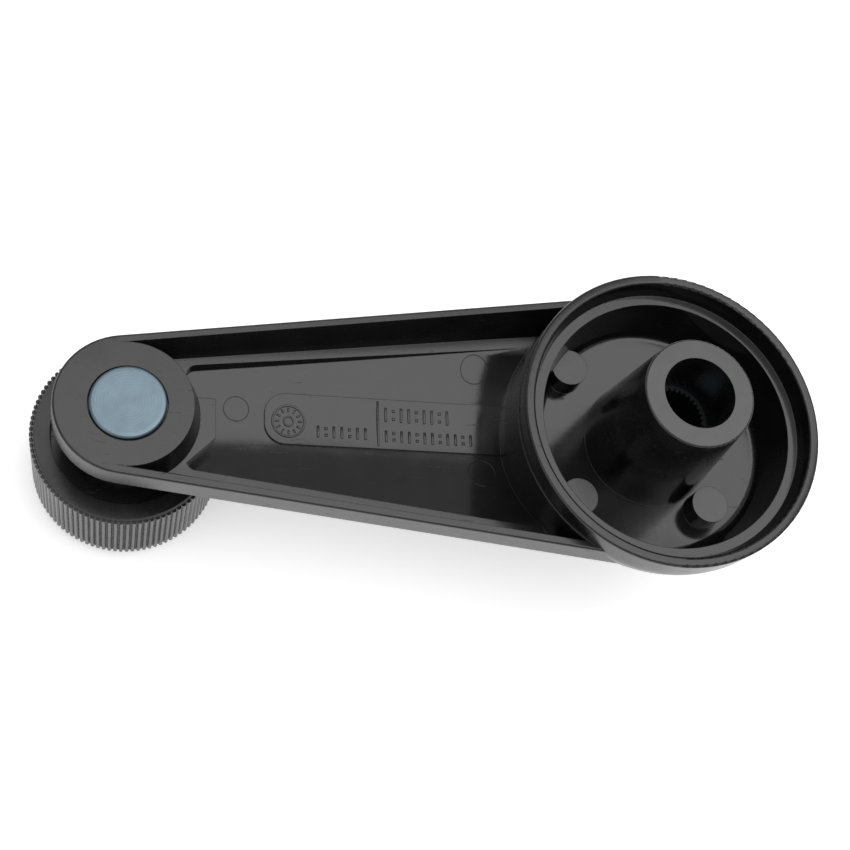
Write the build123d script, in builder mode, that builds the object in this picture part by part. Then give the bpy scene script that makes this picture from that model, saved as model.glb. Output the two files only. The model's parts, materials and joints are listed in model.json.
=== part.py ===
"""Window winder crank, seen door side up.

+Z runs along the spindle axis towards the door, and Z = 0 is the mouth of the spindle boss.
The knob's axis crosses the arm's lip at X = -axis_spacing and leans by knob_lean from the spindle's.
All sizes are in millimetres.
"""
import os
from math import asin, atan2, cos, pi, radians, sin, sqrt, tan

from build123d import *

os.makedirs("parts", exist_ok=True)

# ---- Driving dimensions -------------------------------------------------------------------------
axis_spacing = 90.0            # spindle axis to knob axis
knob_lean = 4.0                # degrees, knob axis from the spindle's, in the XZ plane

# Spindle boss and its bore
bore_radius = 6.1
boss_mouth_wall = 3.3          # boss beyond the bore at its mouth, radially
boss_base_wall = 5.3           # the same at the cup's floor
bore_depth = 12.0              # plain bore, from the mouth to the splined sleeve
boss_mouth_round = 0.35

# Splined sleeve at the bottom of the bore
sleeve_length = 10.0
sleeve_wall = 1.8              # sleeve's outside beyond the bore, radially
spline_step = 0.5              # bore wall in to the bottoms of the grooves
spline_depth = 0.45            # groove bottom in to the teeth's tips
spline_teeth = 36
spline_root_flat = 0.24        # width of a groove at its bottom
web_thickness = 2.0            # floor between the sleeve and the screw's well

# Hub cup
cup_radius = 26.2
cup_lip_drop = 10.7            # boss mouth down to the cup's lip
cup_lip_width = 1.7
cup_lip_round = 0.5
cup_ledge_drop = 3.4           # lip down to the ledge
cup_lip_lean = 0.8             # radius lost from the lip's inner edge down to the ledge
cup_ledge_width = 1.7
cup_wall_lean = 1.8            # radius lost from the ledge down to the floor
cup_floor_drop = 9.2           # ledge down to the rim of the floor
cup_floor_dish = 1.0           # how much lower the floor's middle is
cup_wall_height = 5.4          # straight outer wall under the lip
cup_wall_taper = 0.3           # radius lost over that height
cup_front_inset = 9.2          # rim of the domed front inside the cup's radius
cup_front_step = 0.3           # front of the cup ahead of the arm's
front_dome = 0.7
cup_bulge = 1.6                # how far the rounded front edge stands off its chord
floor_fillet = 1.4

# Ejector pads on the cup's floor
ejector_pad_radius = 3.2
ejector_pad_height = 3.7       # above the rim of the floor
far_pad_inset = 1.4            # pad middles inside the floor's rim, towards the knob
far_pad_turn = 38.5            # degrees, of those pads from the arm's middle line
near_pad_inset = 5.2           # the same for the pads away from the knob
near_pad_turn = 54.5

# Arm
knob_end_radius = 11.8
hub_end_inset = 2.0            # circle the flanks run tangent to, inside the cup's radius
arm_lip_width = 1.3
arm_lip_round = 0.4
arm_lip_drop_knob = 16.8       # boss mouth down to the arm's lip, at the knob axis
arm_lip_drop_hub = 14.6        # the same at the spindle axis
arm_wall_height = 5.0          # straight outer wall under the lip
arm_ledge_depth_knob = 4.5     # lip down to the ledge, at the knob axis
arm_ledge_depth_hub = 8.8
arm_front_depth_knob = 10.6    # lip down to the front face, at the knob axis
arm_front_depth_hub = 15.0
front_flat_knob = 8.4          # radius of the front face at the knob end, before rounding
front_flat_inset = 7.2         # the same at the hub, inside the flanks' circle
front_fillet = 2.4
flank_draft = 15.0             # degrees, of the inner flanks and of the knob pad

# Pocket in the arm
pocket_half_width_knob = 7.7   # at the ledge, beside the knob axis
pocket_flare = 0.125           # growth of the half width along the arm
pocket_depth = 3.4             # ledge down to the pocket's floor
pocket_draft = 3.0             # degrees
pocket_start = 9.7             # from the knob axis to the pocket's end wall
pocket_corner_radius = 1.8
floor_trough_radius = 40.0     # the floor is hollowed to this radius
bridge_gap = 0.4               # pad's edge to the bridge, along the ledge
bridge_length = 3.6
bridge_width = 6.8
gusset_reach = 8.0             # from the arm's middle line to the foot of the bridge's gusset

# Raised label plate on the pocket's floor
plate_start = 23.0             # from the knob axis to the plate's rounded end
plate_width = 8.8
plate_corner = 3.5
plate_offset = 1.7             # of the plate's middle line from the arm's
plate_height = 0.4

# Knob pad and rivet
pad_radius = 10.5
head_radius = 6.15
head_height = 1.7
head_sink = 1.1                # how deep the head lies in the pad's counterbore
head_round = 0.5
head_clearance = 0.2
shank_radius = 3.0
tail_radius = 4.4
tail_height = 1.3
tail_round = 0.9

# Washers on the rivet
wear_washer_thickness = 0.6
wear_washer_radius = 7.4
seat_margin = 0.6              # seat boss beyond the wear washer, radially
seat_rise = 0.95               # seat boss in front of the arm's front face
spring_radius = 6.6
spring_thickness = 0.4
spring_cone = 0.45
retainer_thickness = 1.0
retainer_radius = 7.0

# Knob
knob_radius = 15.75            # over the ridges
knurl_depth = 0.42
knurl_ridges = 100
knurl_length = 15.5
knob_rim_height = 0.5          # bevelled ring at the near end of the knurl
knob_rim_bevel = 0.3
knob_crown = 2.4               # rounding between the knurl and the front
knob_front_radius = 12.3
knob_neck_radius = 8.2
knob_neck_rise = 0.1           # neck face above the knob's near face
knob_recess_radius = 12.4
knob_recess_depth = 2.4
rivet_room_radius = 9.0        # space for the rivet's tail

# Bush pressed into the knob
bush_length = 11.0
bush_wall = 1.9
bush_flange_radius = 6.4
bush_flange_thickness = 0.9

# Snapped-in knob cap
cap_radius = 11.2
cap_thickness = 1.6
cap_dome = 0.5
cap_skirt_wall = 1.1
cap_skirt_height = 1.6

# Screw, lock washer and cover at the hub's front
screw_radius = 2.5
screw_reach = 7.5              # shank inside the splined sleeve
screw_head_radius = 4.4
screw_head_height = 2.3
screw_head_round = 0.9
screw_point = 0.6
screw_well_radius = 5.0
slot_length = 5.0
slot_width = 0.9
slot_depth = 1.3
lock_washer_thickness = 1.0
lock_washer_radius = 4.4
cover_radius = 11.8
cover_depth = 1.8              # from the cover's seat to the front
cover_rim_height = 0.6
cover_rim_wall = 1.2

# Named clearances
running_clearance = 0.05       # radial, rivet in bush
face_gap = 0.15                # between faces that turn against each other
loose_fit = 0.25               # radial, washer on a shank
snap_fit = 0.05                # radial, snapped-in covers

# ---- Radii that follow from the ones above -------------------------------------------------------
boss_mouth_radius = bore_radius + boss_mouth_wall
boss_base_radius = bore_radius + boss_base_wall
sleeve_radius = bore_radius + sleeve_wall
spline_root_radius = bore_radius - spline_step
spline_tip_radius = spline_root_radius - spline_depth
cup_ledge_outer_radius = cup_radius - cup_lip_width - cup_lip_lean
cup_ledge_inner_radius = cup_ledge_outer_radius - cup_ledge_width
cup_floor_radius = cup_ledge_inner_radius - cup_wall_lean
cup_front_radius = cup_radius - cup_front_inset
hub_end_radius = cup_radius - hub_end_inset
front_flat_hub = hub_end_radius - front_flat_inset

# ---- Levels --------------------------------------------------------------------------------------
lip_z = -cup_lip_drop
ledge_z = lip_z - cup_ledge_drop
floor_z = ledge_z - cup_floor_drop
floor_centre_z = floor_z - cup_floor_dish
sleeve_end_z = -bore_depth - sleeve_length
web_z = sleeve_end_z - web_thickness
arm_lip_z_knob = -arm_lip_drop_knob
arm_lip_z_hub = -arm_lip_drop_hub
arm_ledge_z_knob = arm_lip_z_knob - arm_ledge_depth_knob
arm_ledge_z_hub = arm_lip_z_hub - arm_ledge_depth_hub
arm_front_z_knob = arm_lip_z_knob - arm_front_depth_knob
arm_front_z_hub = arm_lip_z_hub - arm_front_depth_hub
hub_front_z = arm_front_z_hub - cup_front_step
cover_seat_z = hub_front_z + cover_depth
counterbore_z = arm_lip_z_knob - head_sink
seat_z = arm_front_z_knob - seat_rise
wear_washer_z = seat_z - wear_washer_thickness
neck_z = wear_washer_z - spring_cone - spring_thickness - face_gap
bush_end_z = neck_z - bush_length
retainer_z = bush_end_z - face_gap - retainer_thickness
knob_near_z = neck_z - knob_neck_rise
knurl_near_z = knob_near_z - knob_rim_height
knurl_far_z = knurl_near_z - knurl_length
knob_front_z = knurl_far_z - knob_crown
cap_seat_z = knob_front_z + cap_thickness


# ---- Planes and shared shapes ---------------------------------------------------------------------
def sloped_plane(z_knob, z_hub):
    """Plane across the arm at the given heights, with its own origin on the knob axis."""
    slope = atan2(z_hub - z_knob, axis_spacing)
    return Plane(
        origin=(-axis_spacing, 0, z_knob),
        x_dir=(cos(slope), 0, sin(slope)),
        z_dir=(-sin(slope), 0, cos(slope)),
    )


lip_plane = sloped_plane(arm_lip_z_knob, arm_lip_z_hub)
belt_plane = lip_plane.offset(-arm_wall_height)
ledge_plane = sloped_plane(arm_ledge_z_knob, arm_ledge_z_hub)
floor_plane = sloped_plane(arm_ledge_z_knob - pocket_depth, arm_ledge_z_hub - pocket_depth)
front_plane = sloped_plane(arm_front_z_knob, arm_front_z_hub)
knob_plane = Plane(
    origin=lip_plane.origin,
    x_dir=(cos(radians(knob_lean)), 0, sin(radians(knob_lean))),
    z_dir=(-sin(radians(knob_lean)), 0, cos(radians(knob_lean))),
)


def section_plane(crossing):
    """Lengthwise section through the axis square to the given plane, with heights as local Y."""
    return Plane(
        origin=crossing.origin - crossing.z_dir * arm_lip_z_knob,
        x_dir=crossing.x_dir,
        z_dir=(0, -1, 0),
    )


knob_section = section_plane(knob_plane)
knob_axis = Axis(knob_plane.origin, knob_plane.z_dir)
trough_axis = Plane(
    origin=floor_plane.origin + floor_plane.z_dir * floor_trough_radius - floor_plane.x_dir * knob_end_radius,
    x_dir=(0, 1, 0),
    z_dir=floor_plane.x_dir,
)
trough_length = axis_spacing + knob_end_radius
upward = (Align.CENTER, Align.CENTER, Align.MIN)
downward = (Align.CENTER, Align.CENTER, Align.MAX)
through = 60.0                 # height of cutters that pass right through


def across_knob(level):
    """Plane square to the knob's axis; levels on it agree with Z where the axis crosses the lip."""
    return knob_plane.offset(level - arm_lip_z_knob)


def on_knob_axis(level):
    """Place on the knob's axis at the given level."""
    return across_knob(level).location


def arm_outline(near_radius, far_radius):
    """Two circles joined by their tangents, on a plane whose origin is the knob axis."""
    lean = asin((far_radius - near_radius) / axis_spacing)
    near_x = -near_radius * sin(lean)
    near_y = near_radius * cos(lean)
    far_x = axis_spacing - far_radius * sin(lean)
    far_y = far_radius * cos(lean)
    with BuildSketch() as outline:
        with BuildLine():
            Line((near_x, near_y), (far_x, far_y))
            ThreePointArc((far_x, far_y), (axis_spacing + far_radius, 0), (far_x, -far_y))
            Line((far_x, -far_y), (near_x, -near_y))
            ThreePointArc((near_x, -near_y), (-near_radius, 0), (near_x, near_y))
        make_face()
    return outline.sketch


def on_plane(sketch, plane):
    """The sketch's faces, moved from the XY plane to the given one."""
    return [plane.from_local_coords(face) for face in sketch.faces()]


def dome_z(rim_z, rim_radius, rise, radius):
    """Height on a shallow spherical dome that hangs under its rim."""
    sphere_radius = (rim_radius**2 + rise**2) / (2 * rise)
    return rim_z - rise + sphere_radius - sqrt(sphere_radius**2 - radius**2)


# ---- Cutters for the arm ---------------------------------------------------------------------------
lip_inner_knob = knob_end_radius - arm_lip_width
lip_inner_hub = hub_end_radius - arm_lip_width
mean_ledge_depth = (arm_ledge_depth_knob + arm_ledge_depth_hub) / 2
wall_lean = mean_ledge_depth * tan(radians(flank_draft))

with BuildPart(mode=Mode.PRIVATE) as ledge_cutter:
    # The arm's hollow down to the ledge, with leaning walls, left solid at the cup
    loft(
        sections=on_plane(arm_outline(lip_inner_knob - wall_lean, lip_inner_hub - wall_lean), ledge_plane)
        + on_plane(arm_outline(lip_inner_knob, lip_inner_hub), lip_plane),
        ruled=True,
    )
    extrude(on_plane(arm_outline(lip_inner_knob, lip_inner_hub), lip_plane), amount=5)
    Cylinder(cup_radius, through, mode=Mode.SUBTRACT)

with BuildPart(mode=Mode.PRIVATE) as pocket_cutter:
    with BuildSketch(ledge_plane) as pocket_outline:
        hub_half_width = pocket_half_width_knob + pocket_flare * axis_spacing
        start_half_width = pocket_half_width_knob + pocket_flare * pocket_start
        Polygon(
            (pocket_start, start_half_width),
            (axis_spacing, hub_half_width),
            (axis_spacing, -hub_half_width),
            (pocket_start, -start_half_width),
            align=None,
        )
        end_corners = pocket_outline.vertices().sort_by(Axis((0, 0, 0), ledge_plane.x_dir))[:2]
        fillet(end_corners, radius=pocket_corner_radius)
    extrude(amount=-2 * pocket_depth, taper=pocket_draft)
    extrude(pocket_outline.sketch, amount=2 * pocket_depth)
    Cylinder(cup_radius, through, mode=Mode.SUBTRACT)
    with Locations(trough_axis):
        Cylinder(floor_trough_radius, trough_length, align=upward, mode=Mode.INTERSECT)

# The plate follows the hollow of the pocket's floor
with BuildPart(mode=Mode.PRIVATE) as label_plate:
    with BuildSketch(floor_plane):
        with Locations((plate_start, plate_offset)):
            RectangleRounded(trough_length, plate_width, plate_corner, align=(Align.MIN, Align.CENTER))
    extrude(amount=pocket_depth, both=True)
    with Locations(trough_axis):
        Cylinder(floor_trough_radius + pocket_depth / 2, trough_length, align=upward, mode=Mode.INTERSECT)
        Cylinder(floor_trough_radius - plate_height, trough_length, align=upward, mode=Mode.SUBTRACT)
    Cylinder(cup_radius - cup_lip_width / 2, through, mode=Mode.SUBTRACT)

# ---- Arm moulding: arm, cup, boss and pads in one piece --------------------------------------------
pad_foot_radius = pad_radius + (arm_ledge_depth_knob + pocket_depth) * tan(radians(flank_draft))
pad_foot_z = arm_ledge_z_knob - pocket_depth
pad_root_z = arm_front_z_knob + 1.5
wall_foot = (cup_radius - cup_wall_taper, lip_z - cup_wall_height)
front_middle_z = dome_z(hub_front_z, cup_front_radius, front_dome, cup_front_radius / 2)
floor_middle_z = dome_z(floor_z, cup_floor_radius, cup_floor_dish, cup_floor_radius / 2)
far_pad_x = -(cup_floor_radius - far_pad_inset) * cos(radians(far_pad_turn))
far_pad_y = (cup_floor_radius - far_pad_inset) * sin(radians(far_pad_turn))
near_pad_x = (cup_floor_radius - near_pad_inset) * cos(radians(near_pad_turn))
near_pad_y = (cup_floor_radius - near_pad_inset) * sin(radians(near_pad_turn))
ejector_pad_places = [
    (far_pad_x, far_pad_y),
    (far_pad_x, -far_pad_y),
    (near_pad_x, near_pad_y),
    (near_pad_x, -near_pad_y),
]

# Outer form of the arm: a straight wall under the lip, then flanks that lean in to the front face
with BuildPart(mode=Mode.PRIVATE) as outer_form:
    extrude(on_plane(arm_outline(knob_end_radius, hub_end_radius), belt_plane), amount=arm_wall_height)
    loft(
        sections=on_plane(arm_outline(front_flat_knob, front_flat_hub), front_plane)
        + on_plane(arm_outline(knob_end_radius, hub_end_radius), belt_plane),
        ruled=True,
    )
    front_edges = [e for e in outer_form.edges() if abs(front_plane.to_local_coords(e.center()).Z) < 0.01]
    fillet(front_edges, radius=front_fillet)
    lip_edges = [e for e in outer_form.edges() if abs(lip_plane.to_local_coords(e.center()).Z) < 0.01]
    fillet(lip_edges, radius=arm_lip_round)

# Knob pad, a tapered column square to the lip, flush with it and inside the outer form
with BuildPart(mode=Mode.PRIVATE) as knob_pad:
    with BuildSketch(section_plane(lip_plane)):
        Polygon(
            (0, arm_lip_z_knob + 1),
            (pad_radius, arm_lip_z_knob + 1),
            (pad_radius, arm_lip_z_knob),
            (pad_foot_radius, pad_foot_z),
            (pad_foot_radius, pad_root_z),
            (0, pad_root_z),
            align=None,
        )
    revolve(axis=Axis(lip_plane.origin, lip_plane.z_dir))
    add(outer_form.part, mode=Mode.INTERSECT)

with BuildPart() as arm_shell:
    # Hollowed arm with its ledge and pocket, and the knob pad in it
    add(outer_form.part)
    add(ledge_cutter.part, mode=Mode.SUBTRACT)
    add(pocket_cutter.part, mode=Mode.SUBTRACT)
    add(knob_pad.part)

    # Hub cup: a bowl with a rounded front, turned about the spindle axis
    with BuildSketch(Plane.XZ):
        with BuildLine():
            Line((0, lip_z), (cup_radius, lip_z))
            Line((cup_radius, lip_z), wall_foot)
            SagittaArc(wall_foot, (cup_front_radius, hub_front_z), cup_bulge)
            ThreePointArc(
                (cup_front_radius, hub_front_z),
                (cup_front_radius / 2, front_middle_z),
                (0, hub_front_z - front_dome),
            )
            Line((0, hub_front_z - front_dome), (0, lip_z))
        make_face()
    revolve(axis=Axis.Z)

    # The cup's hollow: lip, ledge, leaning wall and dished floor
    with BuildSketch(Plane.XZ):
        with BuildLine():
            Polyline(
                (0, lip_z + 1),
                (cup_radius - cup_lip_width, lip_z + 1),
                (cup_radius - cup_lip_width, lip_z),
                (cup_ledge_outer_radius, ledge_z),
                (cup_ledge_inner_radius, ledge_z),
                (cup_floor_radius, floor_z),
            )
            ThreePointArc(
                (cup_floor_radius, floor_z),
                (cup_floor_radius / 2, floor_middle_z),
                (0, floor_centre_z),
            )
            Line((0, floor_centre_z), (0, lip_z + 1))
        make_face()
    revolve(axis=Axis.Z, mode=Mode.SUBTRACT)
    rings = [e for e in arm_shell.edges().filter_by(GeomType.CIRCLE) if e.radius > cup_floor_radius - 0.1]
    fillet([e for e in rings if abs(e.center().Z - floor_z) < 0.01], radius=floor_fillet)
    rings = [e for e in arm_shell.edges().filter_by(GeomType.CIRCLE) if e.radius > cup_floor_radius]
    fillet([e for e in rings if abs(e.center().Z - lip_z) < 0.01], radius=cup_lip_round)

    # Ejector pads on the cup's floor
    with Locations(*[(x, y, floor_centre_z) for x, y in ejector_pad_places]):
        Cylinder(ejector_pad_radius, ejector_pad_height + cup_floor_dish, align=upward)

    # Spindle boss, a tapered column that stands out of the cup
    with BuildSketch(Plane.XZ):
        Polygon(
            (0, 0),
            (boss_mouth_radius, 0),
            (boss_base_radius, floor_z),
            (boss_base_radius, cover_seat_z),
            (0, cover_seat_z),
            align=None,
        )
    revolve(axis=Axis.Z)
    boss_edges = [e for e in arm_shell.edges().filter_by(GeomType.CIRCLE) if abs(e.center().Z) < 0.01]
    fillet(boss_edges, radius=boss_mouth_round)

    # Bore, sleeve cavity, screw hole, screw well and the cover's recess
    Cylinder(bore_radius, bore_depth, align=downward, mode=Mode.SUBTRACT)
    with Locations((0, 0, sleeve_end_z)):
        Cylinder(sleeve_radius, sleeve_length, align=upward, mode=Mode.SUBTRACT)
    with Locations((0, 0, web_z)):
        Cylinder(screw_radius + loose_fit, web_thickness, align=upward, mode=Mode.SUBTRACT)
        Cylinder(screw_well_radius, through, align=downward, mode=Mode.SUBTRACT)
    with Locations((0, 0, cover_seat_z)):
        Cylinder(cover_radius + snap_fit, through, align=downward, mode=Mode.SUBTRACT)

    # Bridge from the pad into the pocket, its gusset on one side, and the label plate on the floor
    with BuildSketch(ledge_plane):
        with Locations((pad_radius + bridge_gap, 0)):
            Rectangle(bridge_length, bridge_width, align=(Align.MIN, Align.CENTER))
        Polygon(
            (pad_radius + bridge_gap + bridge_length, -bridge_width / 2),
            (pad_radius + bridge_gap, -bridge_width / 2),
            (pocket_start - pocket_corner_radius, -gusset_reach),
            (pocket_start, -gusset_reach),
            align=None,
        )
    extrude(amount=-pocket_depth - 1)
    add(label_plate.part)

    # Washer seat on the front, rivet hole and the counterbore for its head
    with Locations(on_knob_axis(seat_z)):
        Cylinder(wear_washer_radius + seat_margin, 2 * seat_rise + 1, align=upward)
        Cylinder(shank_radius, through, mode=Mode.SUBTRACT)
    with Locations(on_knob_axis(counterbore_z)):
        Cylinder(head_radius + head_clearance, head_height, align=upward, mode=Mode.SUBTRACT)
arm_shell.part.label = "arm_shell"
export_step(arm_shell.part, "parts/arm_shell.step")

# ---- Splined sleeve moulded into the boss -----------------------------------------------------------
groove_depth = spline_root_radius - spline_tip_radius
groove_half_mouth = pi * spline_tip_radius / spline_teeth / 2
with BuildPart() as spline_sleeve:
    with BuildSketch(Plane.XY.offset(sleeve_end_z)):
        Circle(sleeve_radius)
        Circle(spline_tip_radius, mode=Mode.SUBTRACT)
        with PolarLocations(spline_tip_radius, spline_teeth):
            Polygon(
                (-groove_depth / 2, groove_half_mouth),
                (groove_depth, spline_root_flat / 2),
                (groove_depth, -spline_root_flat / 2),
                (-groove_depth / 2, -groove_half_mouth),
                align=None,
                mode=Mode.SUBTRACT,
            )
    extrude(amount=sleeve_length)
spline_sleeve.part.label = "spline_sleeve"
export_step(spline_sleeve.part, "parts/spline_sleeve.step")

# ---- Fixing screw, lock washer and hub cover --------------------------------------------------------
lock_washer_z = web_z - lock_washer_thickness
screw_head_z = lock_washer_z - screw_head_height
with BuildPart() as lock_washer:
    with BuildSketch(Plane.XY.offset(lock_washer_z)):
        Circle(lock_washer_radius)
        Circle(screw_radius + loose_fit, mode=Mode.SUBTRACT)
    extrude(amount=lock_washer_thickness)
lock_washer.part.label = "lock_washer"
export_step(lock_washer.part, "parts/lock_washer.step")

with BuildPart() as fixing_screw:
    with Locations((0, 0, screw_head_z)):
        Cylinder(screw_head_radius, screw_head_height, align=upward)
        Cylinder(screw_radius, sleeve_end_z + screw_reach - screw_head_z, align=upward)
    fillet(fixing_screw.edges().group_by(Axis.Z)[0], radius=screw_head_round)
    chamfer(fixing_screw.edges().group_by(Axis.Z)[-1], length=screw_point)
    with BuildSketch(Plane.XY.offset(screw_head_z)):
        Rectangle(slot_length, slot_width)
        Rectangle(slot_width, slot_length)
    extrude(amount=slot_depth, mode=Mode.SUBTRACT)
fixing_screw.part.label = "fixing_screw"
export_step(fixing_screw.part, "parts/fixing_screw.step")

cover_edge_z = dome_z(hub_front_z, cup_front_radius, front_dome, cover_radius)
cover_middle_z = dome_z(hub_front_z, cup_front_radius, front_dome, cover_radius / 2)
with BuildPart() as hub_cover:
    with BuildSketch(Plane.XZ):
        with BuildLine():
            Polyline(
                (0, cover_seat_z - cover_rim_height),
                (cover_radius - cover_rim_wall, cover_seat_z - cover_rim_height),
                (cover_radius - cover_rim_wall, cover_seat_z),
                (cover_radius, cover_seat_z),
                (cover_radius, cover_edge_z),
            )
            ThreePointArc(
                (cover_radius, cover_edge_z),
                (cover_radius / 2, cover_middle_z),
                (0, hub_front_z - front_dome),
            )
            Line((0, hub_front_z - front_dome), (0, cover_seat_z - cover_rim_height))
        make_face()
    revolve(axis=Axis.Z)
hub_cover.part.label = "hub_cover"
export_step(hub_cover.part, "parts/hub_cover.step")

# ---- Rivet and its washers --------------------------------------------------------------------------
with BuildPart() as knob_rivet:
    with Locations(on_knob_axis(counterbore_z)):
        Cylinder(head_radius, head_height, align=upward)
    fillet(knob_rivet.edges().group_by(knob_axis)[-1], radius=head_round)
    with Locations(on_knob_axis(retainer_z)):
        Cylinder(shank_radius, counterbore_z - retainer_z, align=upward)
        Cylinder(tail_radius, tail_height, align=downward)
    fillet(knob_rivet.edges().group_by(knob_axis)[0], radius=tail_round)
knob_rivet.part.label = "knob_rivet"
export_step(knob_rivet.part, "parts/knob_rivet.step")

with BuildPart() as wear_washer:
    with BuildSketch(across_knob(wear_washer_z)):
        Circle(wear_washer_radius)
        Circle(shank_radius + loose_fit, mode=Mode.SUBTRACT)
    extrude(amount=wear_washer_thickness)
wear_washer.part.label = "wear_washer"
export_step(wear_washer.part, "parts/wear_washer.step")

with BuildPart() as spring_washer:
    with BuildSketch(knob_section):
        Polygon(
            (shank_radius + loose_fit, wear_washer_z),
            (spring_radius, wear_washer_z - spring_cone),
            (spring_radius, wear_washer_z - spring_cone - spring_thickness),
            (shank_radius + loose_fit, wear_washer_z - spring_thickness),
            align=None,
        )
    revolve(axis=knob_axis)
spring_washer.part.label = "spring_washer"
export_step(spring_washer.part, "parts/spring_washer.step")

with BuildPart() as retaining_washer:
    with BuildSketch(across_knob(retainer_z)):
        Circle(retainer_radius)
        Circle(shank_radius, mode=Mode.SUBTRACT)
    extrude(amount=retainer_thickness)
retaining_washer.part.label = "retaining_washer"
export_step(retaining_washer.part, "parts/retaining_washer.step")

# ---- Knob: bush, knurled body and cap ---------------------------------------------------------------
bush_radius = shank_radius + running_clearance + bush_wall
with BuildPart() as knob_bush:
    with Locations(on_knob_axis(bush_end_z)):
        Cylinder(bush_radius, bush_length, align=upward)
    with Locations(on_knob_axis(neck_z)):
        Cylinder(bush_flange_radius, bush_flange_thickness, align=downward)
        Cylinder(shank_radius + running_clearance, through, mode=Mode.SUBTRACT)
knob_bush.part.label = "knob_bush"
export_step(knob_bush.part, "parts/knob_bush.step")

root_radius = knob_radius - knurl_depth
crown_middle = (
    root_radius - (root_radius - knob_front_radius) * 0.3,
    knurl_far_z - knob_crown * 0.7,
)
with BuildPart() as knob_body:
    with BuildSketch(knob_section):
        with BuildLine():
            Polyline(
                (0, neck_z),
                (knob_neck_radius, neck_z),
                (knob_neck_radius, knob_near_z - knob_recess_depth),
                (knob_recess_radius, knob_near_z - knob_recess_depth),
                (knob_recess_radius, knob_near_z),
                (root_radius - knob_rim_bevel, knob_near_z),
                (root_radius, knurl_near_z),
                (root_radius, knurl_far_z),
            )
            ThreePointArc((root_radius, knurl_far_z), crown_middle, (knob_front_radius, knob_front_z))
            Polyline((knob_front_radius, knob_front_z), (0, knob_front_z), (0, neck_z))
        make_face()
    revolve(axis=knob_axis)
    # Knurl: a ring of ridges over the plain band
    with BuildSketch(across_knob(knurl_near_z)):
        ridge_points = []
        for ridge in range(knurl_ridges):
            for share, radius in ((0.0, root_radius), (0.3, knob_radius), (0.7, knob_radius)):
                turn = 2 * pi * (ridge + share) / knurl_ridges
                ridge_points.append((radius * cos(turn), radius * sin(turn)))
        Polygon(*ridge_points, align=None)
        Circle(root_radius - 2 * knurl_depth, mode=Mode.SUBTRACT)
    extrude(amount=-knurl_length)
    # Seats for the bush, room for the rivet's tail and the cap's recess
    with Locations(on_knob_axis(bush_end_z)):
        Cylinder(bush_radius, bush_length, align=upward, mode=Mode.SUBTRACT)
        Cylinder(rivet_room_radius, through, align=downward, mode=Mode.SUBTRACT)
    with Locations(on_knob_axis(neck_z)):
        Cylinder(bush_flange_radius, bush_flange_thickness, align=downward, mode=Mode.SUBTRACT)
    with Locations(on_knob_axis(cap_seat_z)):
        Cylinder(cap_radius + snap_fit, through, align=downward, mode=Mode.SUBTRACT)
knob_body.part.label = "knob_body"
export_step(knob_body.part, "parts/knob_body.step")

skirt_radius = rivet_room_radius - snap_fit
with BuildPart() as knob_cap:
    with BuildSketch(knob_section):
        with BuildLine():
            Polyline(
                (0, cap_seat_z),
                (skirt_radius - cap_skirt_wall, cap_seat_z),
                (skirt_radius - cap_skirt_wall, cap_seat_z + cap_skirt_height),
                (skirt_radius, cap_seat_z + cap_skirt_height),
                (skirt_radius, cap_seat_z),
                (cap_radius, cap_seat_z),
                (cap_radius, knob_front_z),
            )
            ThreePointArc(
                (cap_radius, knob_front_z),
                (cap_radius / 2, dome_z(knob_front_z, cap_radius, cap_dome, cap_radius / 2)),
                (0, knob_front_z - cap_dome),
            )
            Line((0, knob_front_z - cap_dome), (0, cap_seat_z))
        make_face()
    revolve(axis=knob_axis)
knob_cap.part.label = "knob_cap"
export_step(knob_cap.part, "parts/knob_cap.step")
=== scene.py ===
"""Looks of a window winder crank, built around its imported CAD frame.

Each operator finishes one group of pieces: the moulded arm, the marks on its label plate, the knob, the
rivet with its washers, the hardware inside the hub, and the studio around them.
"""

import json
import math

import bmesh
import bpy
from bpy.props import FloatProperty, FloatVectorProperty, IntProperty, PointerProperty
from mathutils import Euler, Matrix, Vector


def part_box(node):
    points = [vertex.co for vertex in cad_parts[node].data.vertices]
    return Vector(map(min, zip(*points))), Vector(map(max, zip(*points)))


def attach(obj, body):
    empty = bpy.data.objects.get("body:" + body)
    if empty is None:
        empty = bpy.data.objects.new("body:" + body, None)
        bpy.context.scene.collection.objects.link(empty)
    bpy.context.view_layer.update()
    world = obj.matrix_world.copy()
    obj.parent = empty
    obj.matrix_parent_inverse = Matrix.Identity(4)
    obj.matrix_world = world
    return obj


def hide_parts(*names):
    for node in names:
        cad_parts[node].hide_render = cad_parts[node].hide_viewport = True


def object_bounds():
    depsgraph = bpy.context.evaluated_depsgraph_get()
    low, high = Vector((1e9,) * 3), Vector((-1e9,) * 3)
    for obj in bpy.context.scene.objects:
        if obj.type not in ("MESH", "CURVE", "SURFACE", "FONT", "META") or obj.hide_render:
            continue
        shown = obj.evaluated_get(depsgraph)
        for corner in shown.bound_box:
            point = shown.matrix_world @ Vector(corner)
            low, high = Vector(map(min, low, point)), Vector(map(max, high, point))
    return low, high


bl_info = {
    "name": "Window Winder Crank",
    "version": (1, 0, 0),
    "blender": (4, 5, 0),
    "location": "3D View > Sidebar > Crank",
    "description": "Finishes the pieces of a moulded window winder crank",
    "category": "Object",
}

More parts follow.
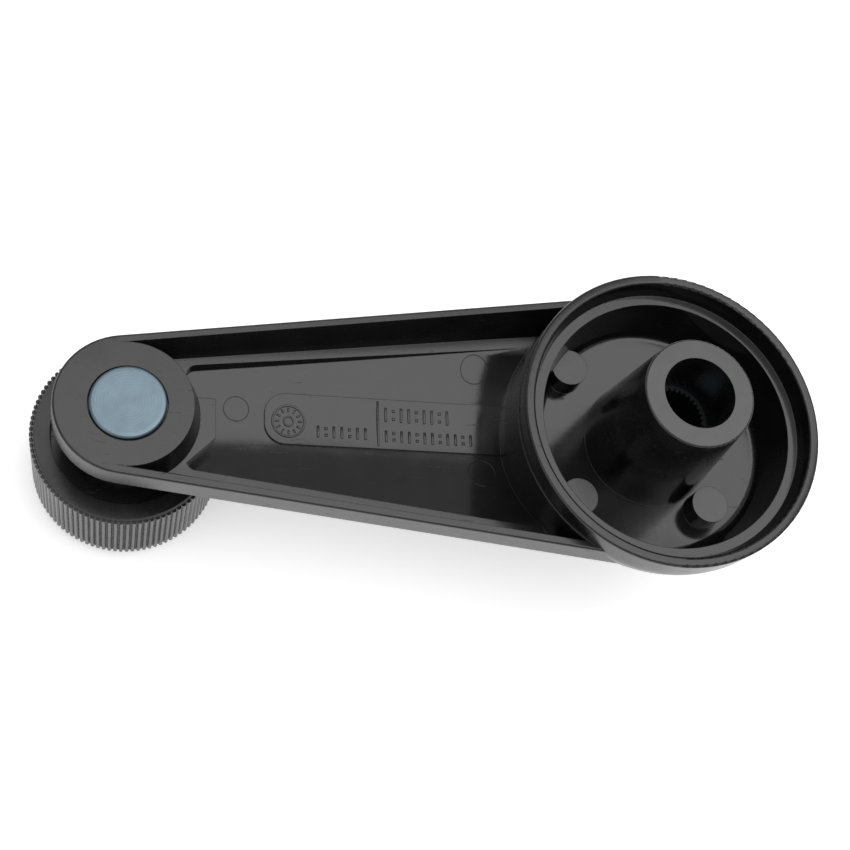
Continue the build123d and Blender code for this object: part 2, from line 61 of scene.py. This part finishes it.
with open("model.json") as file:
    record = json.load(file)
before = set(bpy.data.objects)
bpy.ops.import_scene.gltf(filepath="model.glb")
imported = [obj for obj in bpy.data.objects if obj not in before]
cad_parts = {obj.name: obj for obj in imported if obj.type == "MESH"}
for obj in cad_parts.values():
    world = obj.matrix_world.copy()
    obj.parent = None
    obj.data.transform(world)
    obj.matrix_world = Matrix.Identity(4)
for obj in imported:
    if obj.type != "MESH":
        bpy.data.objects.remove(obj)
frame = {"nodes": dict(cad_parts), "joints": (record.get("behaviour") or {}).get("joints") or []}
cad_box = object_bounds()

MM = 0.001
POLE_GAP = 1e-6                 # joins vertices that lie on each other
CAD_GAP = 2e-6                  # the same for the loose triangles of a CAD node
CORNER = math.radians(28)       # an edge that turns more than this is shaded as a corner


# ---- Reading the frame ---------------------------------------------------------------------------
def spot(x, y, z=0.0):
    """Point in millimetres, as metres."""
    return Vector((x, y, z)) * MM


def high(node):
    """Highest corner of a CAD node."""
    return Vector(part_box(node)[1])


knob_joint = frame["joints"][0]
knob_pivot = Vector(knob_joint["pos_m"])            # where the knob's axis crosses the arm's lip
knob_lean = Vector((0, 0, 1)).rotation_difference(Vector(knob_joint["axis"])).to_matrix()
HUB_AXIS = (0, 0, 0)


# ---- Colours and nodes ---------------------------------------------------------------------------
def linear(code):
    """sRGB hex to linear RGB."""
    out = []
    for place in (0, 2, 4):
        value = int(code[place : place + 2], 16) / 255
        out.append(value / 12.92 if value <= 0.04045 else ((value + 0.055) / 1.055) ** 2.4)
    return tuple(out)


def add_node(tree, kind, inputs=None, **settings):
    """Adds a node, sets its settings, and fills or links its inputs by name or number."""
    made = tree.nodes.new(kind)
    for key, value in settings.items():
        setattr(made, key, value)
    for key, value in (inputs or {}).items():
        if isinstance(value, bpy.types.NodeSocket):
            tree.links.new(value, made.inputs[key])
        else:
            made.inputs[key].default_value = value
    return made


def new_material(name):
    """Empty material with its node tree and output."""
    made = bpy.data.materials.new(name)
    made.use_nodes = True
    made.node_tree.nodes.clear()
    return made, made.node_tree


def place_coordinates(tree, centre=(0, 0, 0), stretch=(1, 1, 1)):
    """Object coordinates about a centre, in metres."""
    where = add_node(tree, "ShaderNodeTexCoord").outputs["Object"]
    return add_node(
        tree,
        "ShaderNodeMapping",
        {"Vector": where, "Location": tuple(-c * s for c, s in zip(centre, stretch)), "Scale": stretch},
    ).outputs["Vector"]


def noise(tree, where, size_mm, detail=2.0, roughness=0.5):
    """Noise whose spots are about that many millimetres across, from 0 to 1."""
    return add_node(
        tree,
        "ShaderNodeTexNoise",
        {"Vector": where, "Scale": 1 / (size_mm * MM), "Detail": detail, "Roughness": roughness},
    ).outputs["Fac"]


def ranged(tree, value, from_low, from_high, to_low, to_high):
    """Value mapped from one range to another, clamped."""
    return add_node(
        tree,
        "ShaderNodeMapRange",
        {"Value": value, "From Min": from_low, "From Max": from_high, "To Min": to_low, "To Max": to_high},
    ).outputs["Result"]


def blend_colours(tree, share, first, second):
    """Mix of two colours."""
    return add_node(
        tree,
        "ShaderNodeMix",
        {"Factor": share, "A": (*first, 1), "B": (*second, 1)},
        data_type="RGBA",
    )


def bumped(tree, height, depth_mm, normal=None):
    """Normal of a surface raised by height times that depth."""
    inputs = {"Height": height, "Distance": depth_mm * MM, "Strength": 1.0}
    if normal is not None:
        inputs["Normal"] = normal
    return add_node(tree, "ShaderNodeBump", inputs).outputs["Normal"]


def eased_edges(tree, radius_mm):
    """Normal that rounds sharp edges over that radius."""
    return add_node(tree, "ShaderNodeBevel", {"Radius": radius_mm * MM}, samples=4).outputs["Normal"]


def finish_material(tree, shader):
    """Puts a shader on the material's output."""
    add_node(tree, "ShaderNodeOutputMaterial", {"Surface": shader.outputs["BSDF"]})


SCUFF_STRETCH = (0.12, 1.0, 1.0)    # scuffs run along the arm
MOTTLE_MM = 5.0
SINK_MM = 16.0
SINK_DEPTH_MM = 0.12
SCUFF_MM = 0.55
PLASTIC_EDGE_MM = 0.18          # rounding of moulded edges
STEEL_EDGE_MM = 0.15
CLOUD_MM = 2.6
SPECK_MM = 0.35
SPECK_DEPTH_MM = 0.003


def moulded_plastic(name, colour, rough, rough_spread, grain_mm, grain_depth_mm, ior=1.53):
    """Injection-moulded plastic: an even body colour, a skin that copies the tool's grain, slow sinks
    over thick ribs, and fine handling scuffs that catch the light."""
    made, tree = new_material(name)
    where = place_coordinates(tree)
    grain = noise(tree, where, grain_mm, 3.0, 0.6)
    mottle = noise(tree, where, MOTTLE_MM, 3.0, 0.55)
    sink = noise(tree, where, SINK_MM, 1.0, 0.4)
    scuff_where = place_coordinates(tree, stretch=SCUFF_STRETCH)
    scuffs = ranged(tree, noise(tree, scuff_where, SCUFF_MM, 4.0, 0.65), 0.64, 0.78, 0.0, 1.0)
    dusty = tuple(min(1.0, c * 1.7 + 0.004) for c in colour)
    tint = ranged(tree, mottle, 0.3, 0.75, 0.0, 0.45)
    body = blend_colours(tree, tint, colour, dusty).outputs["Result"]
    scuffed = add_node(
        tree,
        "ShaderNodeMix",
        {"Factor": ranged(tree, scuffs, 0.0, 1.0, 0.0, 0.35), "A": body, "B": (*dusty, 1)},
        data_type="RGBA",
    )
    uneven = ranged(tree, mottle, 0.25, 0.75, rough - rough_spread, rough + rough_spread)
    worn = add_node(tree, "ShaderNodeMath", {0: uneven, 1: scuffs}, operation="ADD")
    rough_value = ranged(tree, worn.outputs["Value"], 0.0, 2.0, 0.0, 1.15)
    skin = bumped(tree, sink, SINK_DEPTH_MM, eased_edges(tree, PLASTIC_EDGE_MM))
    skin = bumped(tree, grain, grain_depth_mm, skin)
    shader = add_node(
        tree,
        "ShaderNodeBsdfPrincipled",
        {"Base Color": scuffed.outputs["Result"], "Roughness": rough_value, "IOR": ior, "Normal": skin},
    )
    finish_material(tree, shader)
    return made


def plated_steel(name, colour, rough, centre, ring_mm, ring_depth_mm):
    """Zinc-plated steel, turned on a lathe or an automatic: fine rings about its axis, dulled unevenly by
    the plating's passivate, which leaves cloudy bluish patches."""
    made, tree = new_material(name)
    where = place_coordinates(tree, centre)
    rings = add_node(
        tree,
        "ShaderNodeTexWave",
        {"Vector": where, "Scale": 2 * math.pi / (20 * ring_mm * MM), "Distortion": 0.6, "Detail": 1.0},
        wave_type="RINGS",
        rings_direction="Z",
    ).outputs["Fac"]
    cloud = noise(tree, where, CLOUD_MM, 4.0, 0.62)
    speck = noise(tree, where, SPECK_MM, 2.0, 0.5)
    pale = tuple(min(1.0, c * 1.1) for c in colour)
    tint = ranged(tree, cloud, 0.3, 0.75, 0.0, 0.7)
    body = blend_colours(tree, tint, colour, pale).outputs["Result"]
    uneven = ranged(tree, cloud, 0.3, 0.75, rough + 0.04, rough - 0.04)
    skin = bumped(tree, rings, ring_depth_mm, eased_edges(tree, STEEL_EDGE_MM))
    skin = bumped(tree, speck, SPECK_DEPTH_MM, skin)
    shader = add_node(
        tree,
        "ShaderNodeBsdfPrincipled",
        {"Base Color": body, "Roughness": uneven, "Metallic": 1.0, "Normal": skin},
    )
    finish_material(tree, shader)
    return made


# ---- Pieces --------------------------------------------------------------------------------------
def piece_from(shape, name, body, materials, replaced=()):
    """Object made of a bmesh, riding a body, smooth except at its corners."""
    for edge in shape.edges:
        edge.smooth = edge.is_manifold and edge.calc_face_angle() < CORNER
    mesh = bpy.data.meshes.new(name)
    shape.to_mesh(mesh)
    shape.free()
    made = bpy.data.objects.new(name, mesh)
    bpy.context.scene.collection.objects.link(made)
    for material in materials:
        mesh.materials.append(material)
    for face in mesh.polygons:
        face.use_smooth = True
    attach(made, body)
    if replaced:
        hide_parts(*replaced)
    return made


def even_normals(made):
    """Weights the normals by face area, so that flats stay flat beside their roundings."""
    weighted = made.modifiers.new("even normals", "WEIGHTED_NORMAL")
    weighted.keep_sharp = True


def merged_copy(node):
    """Bmesh of a CAD node with its loose triangles joined."""
    shape = bmesh.new()
    shape.from_mesh(frame["nodes"][node].data)
    bmesh.ops.remove_doubles(shape, verts=shape.verts, dist=CAD_GAP)
    shape.normal_update()
    return shape


def turned(profile, centre, steps=96):
    """Bmesh of a profile of (radius, height) points in millimetres, spun about a vertical axis."""
    shape = bmesh.new()
    points = [shape.verts.new(centre + spot(radius, 0, height)) for radius, height in profile]
    edges = [shape.edges.new(pair) for pair in zip(points, points[1:])]
    bmesh.ops.spin(
        shape,
        geom=points + edges,
        cent=centre,
        axis=(0, 0, 1),
        angle=2 * math.pi,
        steps=steps,
        use_merge=True,
    )
    bmesh.ops.remove_doubles(shape, verts=shape.verts, dist=POLE_GAP)
    bmesh.ops.recalc_face_normals(shape, faces=shape.faces)
    return shape


def paint(node, *materials):
    """Gives a CAD node its materials."""
    target = frame["nodes"][node]
    target.data.materials.clear()
    for material in materials:
        target.data.materials.append(material)


def set_material_of(shape, chosen, number):
    """Gives faces a material slot number where the test holds."""
    for face in shape.faces:
        if chosen(face):
            face.material_index = number


# ---- Settings ------------------------------------------------------------------------------------
class ArmSettings(bpy.types.PropertyGroup):
    """The moulded arm."""

    colour: FloatVectorProperty(
        name="Plastic",
        description="Body colour of the arm",
        subtype="COLOR",
        default=linear("0f0f10"),
        min=0,
        max=1,
    )
    gloss: FloatProperty(
        name="Roughness",
        description="Roughness of the outer skin",
        subtype="FACTOR",
        default=0.42,
        min=0,
        max=1,
    )


class MarkSettings(bpy.types.PropertyGroup):
    """Raised marks on the label plate and the pocket's floor."""

    rise: FloatProperty(
        name="Rise",
        description="How far the marks stand up",
        subtype="DISTANCE",
        default=0.16 * MM,
        min=0,
        unit="LENGTH",
    )
    ring_radius: FloatProperty(
        name="Dial radius",
        description="Radius of the dial mark",
        subtype="DISTANCE",
        default=2.7 * MM,
        unit="LENGTH",
    )
    ticks: IntProperty(name="Dial ticks", description="Ticks round the dial mark", default=12, min=3)


class KnobSettings(bpy.types.PropertyGroup):
    """The knurled knob and its cap."""

    colour: FloatVectorProperty(
        name="Plastic",
        description="Body colour of the knob",
        subtype="COLOR",
        default=linear("0c0c0d"),
        min=0,
        max=1,
    )


class SteelSettings(bpy.types.PropertyGroup):
    """Rivet, washers, sleeve and screw."""

    colour: FloatVectorProperty(
        name="Plating",
        description="Colour of the zinc plate",
        subtype="COLOR",
        default=linear("6f7f89"),
        min=0,
        max=1,
    )
    rim: FloatProperty(
        name="Head rounding",
        description="Rounding of the rivet's head",
        subtype="DISTANCE",
        default=0.5 * MM,
        unit="LENGTH",
    )


class StageSettings(bpy.types.PropertyGroup):
    """Floor, lights and camera."""

    floor_colour: FloatVectorProperty(
        name="Floor",
        description="Colour of the floor",
        subtype="COLOR",
        default=linear("fafafa"),
        min=0,
        max=1,
    )
    key_power: FloatProperty(
        name="Overhead light", description="Power of the overhead light", default=6.5, unit="POWER"
    )
    fill_power: FloatProperty(
        name="Side light", description="Power of the side light", default=0.7, unit="POWER"
    )
    sky: FloatProperty(name="Room light", description="Strength of the room's light", default=0.5, min=0)


# ---- Arm -----------------------------------------------------------------------------------------
CUP_REACH = 24.6                # inside of the cup from the hub's axis, in millimetres
CUP_LEVELS = (-24.4, -11.5)     # its floor and the top of its wall
PIN_LEVEL = -19.6               # tops of the ejector pads
LEVEL_SLACK = 0.1
FLAT_UP = 0.995                 # a face with more of its normal upright counts as level
POCKET_ENDS = (-81.0, -24.0)    # along the arm
POCKET_TOP = -21.2              # its edge at the knob's axis
POCKET_SLOPE = 0.0235           # fall of that edge towards the hub
POCKET_DROP = 5.2               # from the edge to well under the floor
POCKET_HALF_WIDTH = 7.6         # at the knob's axis
POCKET_FLARE = 0.126            # its growth towards the hub


class CRANK_OT_arm(bpy.types.Operator):
    """Finishes the moulded arm with its cup, boss and pads"""

    bl_idname = "crank.arm"
    bl_label = "Arm moulding"

    def execute(self, context):
        settings = context.scene.crank_arm
        colour = tuple(settings.colour)
        # Outer skin: satin ABS from the cavity side of the tool
        satin = moulded_plastic("ABS moulded satin", colour, settings.gloss, 0.05, 0.5, 0.012)
        # Inside of the cup and the pocket: the core side of the tool is polished
        polished = moulded_plastic("ABS moulded in a polished core", colour, 0.24, 0.05, 0.9, 0.004)
        # Boss end and ejector pads: spark-eroded pins leave the same ABS dull and paler
        paler = linear("434344")
        eroded = moulded_plastic("ABS moulded on spark-eroded pins", paler, 0.6, 0.05, 0.35, 0.02)
        shape = merged_copy("arm_shell")
        boss_z = high("arm_shell").z

        def in_cup(face):
            centre = face.calc_center_median() / MM
            floor, wall_top = CUP_LEVELS
            return centre.xy.length < CUP_REACH and floor < centre.z < wall_top

        def in_pocket(face):
            centre = face.calc_center_median() / MM
            near_end, far_end = POCKET_ENDS
            along = centre.x - knob_pivot.x / MM
            edge = POCKET_TOP - along * POCKET_SLOPE
            half_width = POCKET_HALF_WIDTH + along * POCKET_FLARE
            in_plan = near_end < centre.x < far_end and abs(centre.y) < half_width
            return in_plan and edge - POCKET_DROP < centre.z < edge

        def on_pin(face):
            centre = face.calc_center_median() / MM
            boss_end = abs(centre.z - boss_z / MM) < LEVEL_SLACK / 2
            post = in_cup(face) and abs(centre.z - PIN_LEVEL) < LEVEL_SLACK
            return face.normal.z > FLAT_UP and (boss_end or post)

        set_material_of(shape, in_cup, 1)
        set_material_of(shape, in_pocket, 1)
        set_material_of(shape, on_pin, 2)
        skins = [satin, polished, eroded]
        made = piece_from(shape, "arm_moulding", "arm", skins, ["arm_shell"])
        even_normals(made)
        return {"FINISHED"}


# ---- Raised marks --------------------------------------------------------------------------------
FLOOR_Z = -24.7                 # pocket floor on the middle line at the knob axis, in millimetres
FLOOR_SLOPE = -0.0233           # its fall towards the hub
TROUGH_RADIUS = 40.0            # the floor is hollowed to this radius
PLATE_RISE = 0.4                # label plate above the floor
PLATE_MIDDLE = 1.7              # the plate's middle line, across the arm
MARK_ROOT = 0.1                 # marks reach this far under the surface they stand on
MARK_PITCH = 1.35               # between neighbouring bars
PIP_SIZE = 0.55
PIP_SPREAD = 0.28               # of a bar's height, from its middle to a pip's
BAR_WIDTH = 0.45
BAR_ROUND = 0.22                # rounding of a bar's edges, as a share of its smaller side
DIAL_PLACE = (-63.0, 1.3)
DIVIDER_PLACE = (-47.7, PLATE_MIDDLE)
TALLY_ROWS = (                  # x and y of the first bar, its height, and how many
    (-46.3, 3.4, 2.5, 9),
    (-58.0, -0.2, 2.1, 7),
    (-46.3, -0.4, 2.1, 12),
)
EJECTOR_RINGS = ((-71.7, 3.1, 2.1), (-30.6, 12.2, 2.4), (-29.8, -6.2, 2.4))   # x, y and radius


def floor_height(x, y, over):
    """Height of the hollowed pocket floor at x and y, in millimetres, raised by over."""
    along = x - knob_pivot.x / MM
    return FLOOR_Z + FLOOR_SLOPE * along + TROUGH_RADIUS - math.sqrt((TROUGH_RADIUS - over) ** 2 - y**2)


def lay_on_floor(shape, over):
    """Moves a shape made at height zero down onto the hollowed floor."""
    for vert in shape.verts:
        vert.co.z += floor_height(vert.co.x / MM, vert.co.y / MM, over) * MM


def raised_bar(shape, x, y, length, width, rise):
    """Adds a rounded raised bar, sizes in millimetres, its middle at x and y, long side along X."""
    stretch = Matrix.Diagonal((length * MM, width * MM, (rise + 2 * MARK_ROOT) * MM, 1))
    place = Matrix.Translation(spot(x, y, rise / 2 - MARK_ROOT)) @ stretch
    made = bmesh.ops.create_cube(shape, size=1.0, matrix=place)
    edges = list(dict.fromkeys(e for v in made["verts"] for e in v.link_edges))
    upper = [e for e in edges if all(v.co.z > 0 for v in e.verts)]
    sides = [e for e in edges if abs(e.verts[0].co.z - e.verts[1].co.z) > MARK_ROOT * MM]
    bmesh.ops.bevel(
        shape,
        geom=upper + sides,
        offset=min(length, width) * BAR_ROUND * MM,
        segments=2,
        profile=0.5,
        affect="EDGES",
        material=-1,
    )


def raised_ring(shape, x, y, radius, width, rise, steps=48):
    """Adds a raised ring, sizes in millimetres."""
    centre = spot(x, y)
    outline = [
        (radius - width / 2, -MARK_ROOT),
        (radius - width / 3, rise),
        (radius + width / 3, rise),
        (radius + width / 2, -MARK_ROOT),
    ]
    points = [shape.verts.new(centre + spot(r, 0, z)) for r, z in outline]
    edges = [shape.edges.new(pair) for pair in zip(points, points[1:])]
    bmesh.ops.spin(
        shape,
        geom=points + edges,
        cent=centre,
        axis=(0, 0, 1),
        angle=2 * math.pi,
        steps=steps,
        use_merge=True,
    )


class CRANK_OT_marks(bpy.types.Operator):
    """Adds the generic raised marks and the ejector rings in the arm's pocket"""

    bl_idname = "crank.marks"
    bl_label = "Raised marks"

    def execute(self, context):
        settings = context.scene.crank_marks
        rise = settings.rise / MM
        ring = settings.ring_radius / MM
        plastic = bpy.data.materials["ABS moulded satin"]

        # Dial with ticks, as on a moulded date clock
        shape = bmesh.new()
        raised_ring(shape, *DIAL_PLACE, ring, 0.45, rise)
        raised_ring(shape, *DIAL_PLACE, ring * 0.3, 0.35, rise, 24)
        for tick in range(settings.ticks):
            tick_shape = bmesh.new()
            raised_bar(tick_shape, ring * 0.72, 0, ring * 0.26, 0.3, rise)
            turn = Matrix.Rotation(2 * math.pi * tick / settings.ticks, 4, "Z")
            place = Matrix.Translation(spot(*DIAL_PLACE)) @ turn
            bmesh.ops.transform(tick_shape, matrix=place, verts=tick_shape.verts)
            carried = bpy.data.meshes.new("tick")
            tick_shape.to_mesh(carried)
            tick_shape.free()
            shape.from_mesh(carried)
            bpy.data.meshes.remove(carried)
        bmesh.ops.recalc_face_normals(shape, faces=shape.faces)
        lay_on_floor(shape, PLATE_RISE)
        piece_from(shape, "dial_mark", "arm", [plastic])

        # Cavity tally: plain upright bars and pips in two rows, on both sides of the divider
        shape = bmesh.new()
        for x, y, height, count in TALLY_ROWS:
            for step in range(count):
                along = x + step * MARK_PITCH
                if step % 3 == 1:
                    raised_bar(shape, along, y + height * PIP_SPREAD, PIP_SIZE, PIP_SIZE, rise)
                    raised_bar(shape, along, y - height * PIP_SPREAD, PIP_SIZE, PIP_SIZE, rise)
                else:
                    raised_bar(shape, along, y, BAR_WIDTH, height, rise)
        raised_bar(shape, *DIVIDER_PLACE, 0.35, 8.0, rise * 0.8)
        bmesh.ops.recalc_face_normals(shape, faces=shape.faces)
        lay_on_floor(shape, PLATE_RISE)
        piece_from(shape, "cavity_tally", "arm", [plastic])

        # Rings that the ejector pins leave in the floor
        shape = bmesh.new()
        for x, y, radius in EJECTOR_RINGS:
            raised_ring(shape, x, y, radius, 0.22, rise * 0.45)
        bmesh.ops.recalc_face_normals(shape, faces=shape.faces)
        lay_on_floor(shape, 0.0)
        piece_from(shape, "ejector_rings", "arm", [plastic])
        return {"FINISHED"}


# ---- Knob ----------------------------------------------------------------------------------------
class CRANK_OT_knob(bpy.types.Operator):
    """Finishes the knurled knob, its cap and its bush"""

    bl_idname = "crank.knob"
    bl_label = "Knob"

    def execute(self, context):
        settings = context.scene.crank_knob
        colour = tuple(settings.colour)
        # Knob: matt polypropylene, a little softer in its shine than the arm
        grip = moulded_plastic("polypropylene moulded matt", colour, 0.46, 0.06, 0.6, 0.01, ior=1.49)
        # Snapped-in covers: ABS with the fine texture of a trim part
        face = moulded_plastic("ABS moulded fine texture", linear("1a1a1b"), 0.5, 0.05, 0.4, 0.03)
        # Bush and wear washer: natural acetal, waxy and off-white
        acetal = moulded_plastic("acetal natural", linear("c4c0b4"), 0.38, 0.04, 0.7, 0.004, ior=1.48)
        for node, name, body, slot_name, material in (
            ("knob_body", "knob_moulding", "knob", "knob_plastic", grip),
            ("knob_cap", "knob_face_cap", "knob", "cover_plastic", face),
            ("hub_cover", "screw_cover", "arm", "cover_plastic", face),
        ):
            made = piece_from(merged_copy(node), name, body, [material], [node])
            even_normals(made)
        paint("knob_bush", acetal)
        paint("wear_washer", acetal)
        return {"FINISHED"}


# ---- Rivet and hub hardware ----------------------------------------------------------------------
RIVET_TOP = 0.6                 # sizes of the rivet in millimetres, heights from the arm's lip
RIVET_LENGTH = 27.2
HEAD_RADIUS = 6.15
HEAD_HEIGHT = 1.7
SHANK_RADIUS = 3.0
TAIL_RADIUS = 4.4
TAIL_HEIGHT = 1.3
TAIL_ROUND = 0.9
HEAD_DISH = 0.05                # how much lower the head's middle lies than its edge
RIM_STEPS = 8
TAIL_STEPS = 6


class CRANK_OT_rivet(bpy.types.Operator):
    """Turns the knob rivet with its rounded head and peened tail"""

    bl_idname = "crank.rivet"
    bl_label = "Rivet and washers"

    def execute(self, context):
        settings = context.scene.crank_steel
        # Rivet and its steel washers: zinc plate under a bluish passivate
        plated = plated_steel(
            "steel zinc-plated and passivated", tuple(settings.colour), 0.42, tuple(knob_pivot), 0.5, 0.004
        )
        rim = settings.rim / MM
        bottom = RIVET_TOP - RIVET_LENGTH
        under = RIVET_TOP - HEAD_HEIGHT
        tail_top = bottom + TAIL_HEIGHT
        profile = [
            (0, RIVET_TOP - HEAD_DISH),
            (HEAD_RADIUS * 0.6, RIVET_TOP - HEAD_DISH * 0.8),
            (HEAD_RADIUS - rim * 2.2, RIVET_TOP),
        ]
        for step in range(RIM_STEPS + 1):
            turn = math.pi / 2 * (1 - step / RIM_STEPS)
            outward = rim * math.cos(turn)
            profile.append((HEAD_RADIUS - rim + outward, RIVET_TOP - rim + rim * math.sin(turn)))
        profile += [
            (HEAD_RADIUS, under),
            (SHANK_RADIUS, under),
            (SHANK_RADIUS, tail_top),
            (TAIL_RADIUS, tail_top),
        ]
        for step in range(TAIL_STEPS + 1):
            turn = math.pi / 2 * step / TAIL_STEPS
            inward = TAIL_ROUND * (1 - math.cos(turn))
            profile.append((TAIL_RADIUS - inward, bottom + TAIL_ROUND * (1 - math.sin(turn))))
        profile.append((0, bottom))
        shape = turned(profile, knob_pivot)
        bmesh.ops.rotate(shape, verts=shape.verts, cent=knob_pivot, matrix=knob_lean)
        made = piece_from(shape, "rivet", "arm", [plated], ["knob_rivet"])
        even_normals(made)
        paint("spring_washer", plated)
        paint("retaining_washer", plated)
        return {"FINISHED"}


class CRANK_OT_hub(bpy.types.Operator):
    """Finishes the splined sleeve, the screw and its lock washer"""

    bl_idname = "crank.hub"
    bl_label = "Hub hardware"

    def execute(self, context):
        settings = context.scene.crank_steel
        # Screw and lock washer: the same plate, with wider turning marks
        cut = plated_steel("steel zinc-plated", tuple(settings.colour), 0.4, HUB_AXIS, 0.6, 0.006)
        # Sleeve: broached steel, coloured much darker than the other steel
        dark_sleeve_steel = plated_steel("steel broached and greased", linear("3a3c3e"), 0.55, HUB_AXIS, 0.6, 0.006)
        paint("spline_sleeve", dark_sleeve_steel)
        paint("lock_washer", cut)
        paint("fixing_screw", cut)
        return {"FINISHED"}


# ---- Stage ---------------------------------------------------------------------------------------
FLOOR_HALF_SIZE = 12.0          # metres
FLOOR_GAP = 0.2 * MM            # under the lowest point
FLOOR_GLOW = 0.42               # light that comes through the sheet
OBJECT_X = -0.045               # about the object's middle
SOFTBOXES = (                   # name, place, target, size and the setting that holds its power
    ("overhead softbox", (0.2, 0.0, 0.9), (0.2, 0.0, 0.0), 1.0, "key_power"),
    ("side softbox", (-0.75, -0.35, 0.42), (-0.045, 0.0, -0.02), 0.5, "fill_power"),
)
EYE = (-0.1097, -0.0997, 0.2355)
EYE_TURN = (21.276, -14.123, -2.565)    # degrees


class CRANK_OT_stage(bpy.types.Operator):
    """Adds the pale floor, the soft lights and the camera"""

    bl_idname = "crank.stage"
    bl_label = "Studio"

    def execute(self, context):
        settings = context.scene.crank_stage
        scene = context.scene

        # Opal acrylic sheet of a light table: matt, faintly uneven, and lit a little from beneath
        board, tree = new_material("acrylic opal, back-lit")
        where = place_coordinates(tree)
        pale = tuple(settings.floor_colour)
        duller = tuple(c * 0.985 for c in pale)
        tone = blend_colours(tree, noise(tree, where, 40.0), pale, duller).outputs["Result"]
        shader = add_node(
            tree,
            "ShaderNodeBsdfPrincipled",
            {
                "Base Color": tone,
                "Roughness": 0.9,
                "Emission Color": (1, 1, 1, 1),
                "Emission Strength": FLOOR_GLOW,
            },
        )
        finish_material(tree, shader)
        shape = bmesh.new()
        bmesh.ops.create_grid(shape, x_segments=8, y_segments=8, size=FLOOR_HALF_SIZE)
        drop = cad_box[0][2] - FLOOR_GAP
        bmesh.ops.translate(shape, verts=shape.verts, vec=(OBJECT_X, 0, drop))
        mesh = bpy.data.meshes.new("floor_board")
        shape.to_mesh(mesh)
        shape.free()
        mesh.materials.append(board)
        floor = bpy.data.objects.new("floor_board", mesh)
        scene.collection.objects.link(floor)

        # Lights: a large softbox overhead, past the hub, and a small fill at the side
        for name, place, target, size, power in SOFTBOXES:
            lamp = bpy.data.lights.new(name, "AREA")
            lamp.shape = "SQUARE"
            lamp.size = size
            lamp.energy = getattr(settings, power)
            holder = bpy.data.objects.new(name, lamp)
            holder.location = place
            holder.rotation_euler = (Vector(target) - Vector(place)).to_track_quat("-Z", "Y").to_euler()
            scene.collection.objects.link(holder)

        room = bpy.data.worlds.new("room")
        room.use_nodes = True
        room.node_tree.nodes["Background"].inputs["Color"].default_value = (1, 1, 1, 1)
        room.node_tree.nodes["Background"].inputs["Strength"].default_value = settings.sky
        scene.world = room
        scene.view_settings.view_transform = "Standard"

        lens = bpy.data.cameras.new("camera")
        lens.lens = 72.0
        lens.sensor_width = 36.0
        lens.clip_start = 0.01
        eye = bpy.data.objects.new("camera", lens)
        eye.location = EYE
        eye.rotation_euler = Euler([math.radians(angle) for angle in EYE_TURN])
        scene.collection.objects.link(eye)
        scene.camera = eye
        return {"FINISHED"}


# ---- Panel and running ---------------------------------------------------------------------------
SETTINGS = (
    ("crank_arm", ArmSettings),
    ("crank_marks", MarkSettings),
    ("crank_knob", KnobSettings),
    ("crank_steel", SteelSettings),
    ("crank_stage", StageSettings),
)
OPERATORS = (CRANK_OT_arm, CRANK_OT_marks, CRANK_OT_knob, CRANK_OT_rivet, CRANK_OT_hub, CRANK_OT_stage)


class CRANK_PT_pieces(bpy.types.Panel):
    """Lists the pieces and their settings."""

    bl_idname = "CRANK_PT_pieces"
    bl_label = "Window winder crank"
    bl_space_type = "VIEW_3D"
    bl_region_type = "UI"
    bl_category = "Crank"

    def draw(self, context):
        for operator in OPERATORS:
            self.layout.operator(operator.bl_idname)
        for name, group in SETTINGS:
            column = self.layout.box().column()
            for key in group.__annotations__:
                column.prop(getattr(context.scene, name), key)


def register():
    for name, group in SETTINGS:
        bpy.utils.register_class(group)
        setattr(bpy.types.Scene, name, PointerProperty(type=group))
    for operator in OPERATORS:
        bpy.utils.register_class(operator)
    bpy.utils.register_class(CRANK_PT_pieces)


def unregister():
    bpy.utils.unregister_class(CRANK_PT_pieces)
    for operator in reversed(OPERATORS):
        bpy.utils.unregister_class(operator)
    for name, group in reversed(SETTINGS):
        delattr(bpy.types.Scene, name)
        bpy.utils.unregister_class(group)


def main():
    """Makes every piece in order."""
    register()
    bpy.ops.crank.arm()
    bpy.ops.crank.marks()
    bpy.ops.crank.knob()
    bpy.ops.crank.rivet()
    bpy.ops.crank.hub()
    bpy.ops.crank.stage()


if __name__ == "__main__":
    main()
